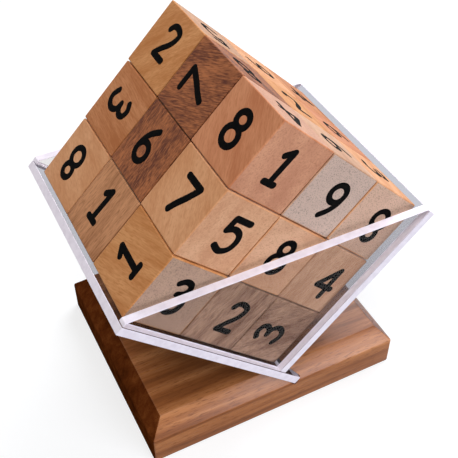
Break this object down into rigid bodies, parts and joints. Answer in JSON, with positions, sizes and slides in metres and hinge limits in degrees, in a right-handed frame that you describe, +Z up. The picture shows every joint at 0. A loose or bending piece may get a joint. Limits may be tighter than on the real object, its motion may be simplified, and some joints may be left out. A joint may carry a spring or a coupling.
{
  "type": "three-dimensional sudoku puzzle",
  "caption": "Loose wooden number cubes stacked edge down in a clear V-shaped acrylic tray, which stands on a bevelled wooden base; the cubes lift out to be rearranged.",
  "frame": {"origin": "on the surface that the base stands on, under the middle of the tray", "axes": "+Z up, -Y the front, where the tray's front end wall is, +X to the right, the side that the tray's tongue runs down to"},
  "size_m": [0.1146, 0.087, 0.1292],
  "materials": {
    "base_wood": "medium-dark brown hardwood with a satin oil finish, grain along the width",
    "clear_acrylic": "clear 3 mm cast acrylic sheet, polished faces and frosted sawn edges",
    "cube_wood": "sanded hardwood from honey to brown, black digit painted on each face",
    "digit_paint": "black satin paint, in strokes with round ends"
  },
  "bodies": {
    "tray_on_base": {"base_block": "base_wood", "tray_floor_panel": "clear_acrylic", "tray_side_panel": "clear_acrylic", "tray_front_wall": "clear_acrylic", "tray_rear_wall": "clear_acrylic"},
    "cube_lower_front_right": {"cube_lower_front_right": "cube_wood"},
    "cube_lower_front_mid": {"cube_lower_front_mid": "cube_wood"},
    "cube_lower_front_left": {"cube_lower_front_left": "cube_wood"},
    "cube_lower_centre_right": {"cube_lower_centre_right": "cube_wood"},
    "cube_lower_centre_mid": {"cube_lower_centre_mid": "cube_wood"},
    "cube_lower_centre_left": {"cube_lower_centre_left": "cube_wood"},
    "cube_lower_rear_right": {"cube_lower_rear_right": "cube_wood"},
    "cube_lower_rear_mid": {"cube_lower_rear_mid": "cube_wood"},
    "cube_lower_rear_left": {"cube_lower_rear_left": "cube_wood"},
    "cube_middle_front_right": {"cube_middle_front_right": "cube_wood"},
    "cube_middle_front_mid": {"cube_middle_front_mid": "cube_wood"},
    "cube_middle_front_left": {"cube_middle_front_left": "cube_wood"},
    "cube_middle_centre_right": {"cube_middle_centre_right": "cube_wood"},
    "cube_middle_centre_mid": {"cube_middle_centre_mid": "cube_wood"},
    "cube_middle_centre_left": {"cube_middle_centre_left": "cube_wood"},
    "cube_middle_rear_right": {"cube_middle_rear_right": "cube_wood"},
    "cube_middle_rear_mid": {"cube_middle_rear_mid": "cube_wood"},
    "cube_middle_rear_left": {"cube_middle_rear_left": "cube_wood"},
    "cube_upper_front_right": {"cube_upper_front_right": "cube_wood"},
    "cube_upper_front_mid": {"cube_upper_front_mid": "cube_wood"},
    "cube_upper_front_left": {"cube_upper_front_left": "cube_wood"},
    "cube_upper_centre_right": {"cube_upper_centre_right": "cube_wood"},
    "cube_upper_centre_mid": {"cube_upper_centre_mid": "cube_wood"},
    "cube_upper_centre_left": {"cube_upper_centre_left": "cube_wood"},
    "cube_upper_rear_right": {"cube_upper_rear_right": "cube_wood"},
    "cube_upper_rear_mid": {"cube_upper_rear_mid": "cube_wood"},
    "cube_upper_rear_left": {"cube_upper_rear_left": "cube_wood"}
  },
  "joints": [
    {"name": "lift_lower_front_right", "type": "slide", "parent": "tray_on_base", "child": "cube_lower_front_right", "axis": [-0.7071, 0, 0.7071], "range_m": [0, 0.08]},
    {"name": "lift_lower_front_mid", "type": "slide", "parent": "cube_lower_front_right", "child": "cube_lower_front_mid", "axis": [-0.7071, 0, 0.7071], "range_m": [0, 0.055]},
    {"name": "lift_lower_front_left", "type": "slide", "parent": "cube_lower_front_mid", "child": "cube_lower_front_left", "axis": [-0.7071, 0, 0.7071], "range_m": [0, 0.03]},
    {"name": "lift_lower_centre_right", "type": "slide", "parent": "tray_on_base", "child": "cube_lower_centre_right", "axis": [-0.7071, 0, 0.7071], "range_m": [0, 0.08]},
    {"name": "lift_lower_centre_mid", "type": "slide", "parent": "cube_lower_centre_right", "child": "cube_lower_centre_mid", "axis": [-0.7071, 0, 0.7071], "range_m": [0, 0.055]},
    {"name": "lift_lower_centre_left", "type": "slide", "parent": "cube_lower_centre_mid", "child": "cube_lower_centre_left", "axis": [-0.7071, 0, 0.7071], "range_m": [0, 0.03]},
    {"name": "lift_lower_rear_right", "type": "slide", "parent": "tray_on_base", "child": "cube_lower_rear_right", "axis": [-0.7071, 0, 0.7071], "range_m": [0, 0.08]},
    {"name": "lift_lower_rear_mid", "type": "slide", "parent": "cube_lower_rear_right", "child": "cube_lower_rear_mid", "axis": [-0.7071, 0, 0.7071], "range_m": [0, 0.055]},
    {"name": "lift_lower_rear_left", "type": "slide", "parent": "cube_lower_rear_mid", "child": "cube_lower_rear_left", "axis": [-0.7071, 0, 0.7071], "range_m": [0, 0.03]},
    {"name": "lift_middle_front_right", "type": "slide", "parent": "tray_on_base", "child": "cube_middle_front_right", "axis": [-0.7071, 0, 0.7071], "range_m": [0, 0.08]},
    {"name": "lift_middle_front_mid", "type": "slide", "parent": "cube_middle_front_right", "child": "cube_middle_front_mid", "axis": [-0.7071, 0, 0.7071], "range_m": [0, 0.055]},
    {"name": "lift_middle_front_left", "type": "slide", "parent": "cube_middle_front_mid", "child": "cube_middle_front_left", "axis": [-0.7071, 0, 0.7071], "range_m": [0, 0.03]},
    {"name": "lift_middle_centre_right", "type": "slide", "parent": "tray_on_base", "child": "cube_middle_centre_right", "axis": [-0.7071, 0, 0.7071], "range_m": [0, 0.08]},
    {"name": "lift_middle_centre_mid", "type": "slide", "parent": "cube_middle_centre_right", "child": "cube_middle_centre_mid", "axis": [-0.7071, 0, 0.7071], "range_m": [0, 0.055]},
    {"name": "lift_middle_centre_left", "type": "slide", "parent": "cube_middle_centre_mid", "child": "cube_middle_centre_left", "axis": [-0.7071, 0, 0.7071], "range_m": [0, 0.03]},
    {"name": "lift_middle_rear_right", "type": "slide", "parent": "tray_on_base", "child": "cube_middle_rear_right", "axis": [-0.7071, 0, 0.7071], "range_m": [0, 0.08]},
    {"name": "lift_middle_rear_mid", "type": "slide", "parent": "cube_middle_rear_right", "child": "cube_middle_rear_mid", "axis": [-0.7071, 0, 0.7071], "range_m": [0, 0.055]},
    {"name": "lift_middle_rear_left", "type": "slide", "parent": "cube_middle_rear_mid", "child": "cube_middle_rear_left", "axis": [-0.7071, 0, 0.7071], "range_m": [0, 0.03]},
    {"name": "lift_upper_front_right", "type": "slide", "parent": "tray_on_base", "child": "cube_upper_front_right", "axis": [-0.7071, 0, 0.7071], "range_m": [0, 0.08]},
    {"name": "lift_upper_front_mid", "type": "slide", "parent": "cube_upper_front_right", "child": "cube_upper_front_mid", "axis": [-0.7071, 0, 0.7071], "range_m": [0, 0.055]},
    {"name": "lift_upper_front_left", "type": "slide", "parent": "cube_upper_front_mid", "child": "cube_upper_front_left", "axis": [-0.7071, 0, 0.7071], "range_m": [0, 0.03]},
    {"name": "lift_upper_centre_right", "type": "slide", "parent": "tray_on_base", "child": "cube_upper_centre_right", "axis": [-0.7071, 0, 0.7071], "range_m": [0, 0.08]},
    {"name": "lift_upper_centre_mid", "type": "slide", "parent": "cube_upper_centre_right", "child": "cube_upper_centre_mid", "axis": [-0.7071, 0, 0.7071], "range_m": [0, 0.055]},
    {"name": "lift_upper_centre_left", "type": "slide", "parent": "cube_upper_centre_mid", "child": "cube_upper_centre_left", "axis": [-0.7071, 0, 0.7071], "range_m": [0, 0.03]},
    {"name": "lift_upper_rear_right", "type": "slide", "parent": "tray_on_base", "child": "cube_upper_rear_right", "axis": [-0.7071, 0, 0.7071], "range_m": [0, 0.08]},
    {"name": "lift_upper_rear_mid", "type": "slide", "parent": "cube_upper_rear_right", "child": "cube_upper_rear_mid", "axis": [-0.7071, 0, 0.7071], "range_m": [0, 0.055]},
    {"name": "lift_upper_rear_left", "type": "slide", "parent": "cube_upper_rear_mid", "child": "cube_upper_rear_left", "axis": [-0.7071, 0, 0.7071], "range_m": [0, 0.03]}
  ]
}
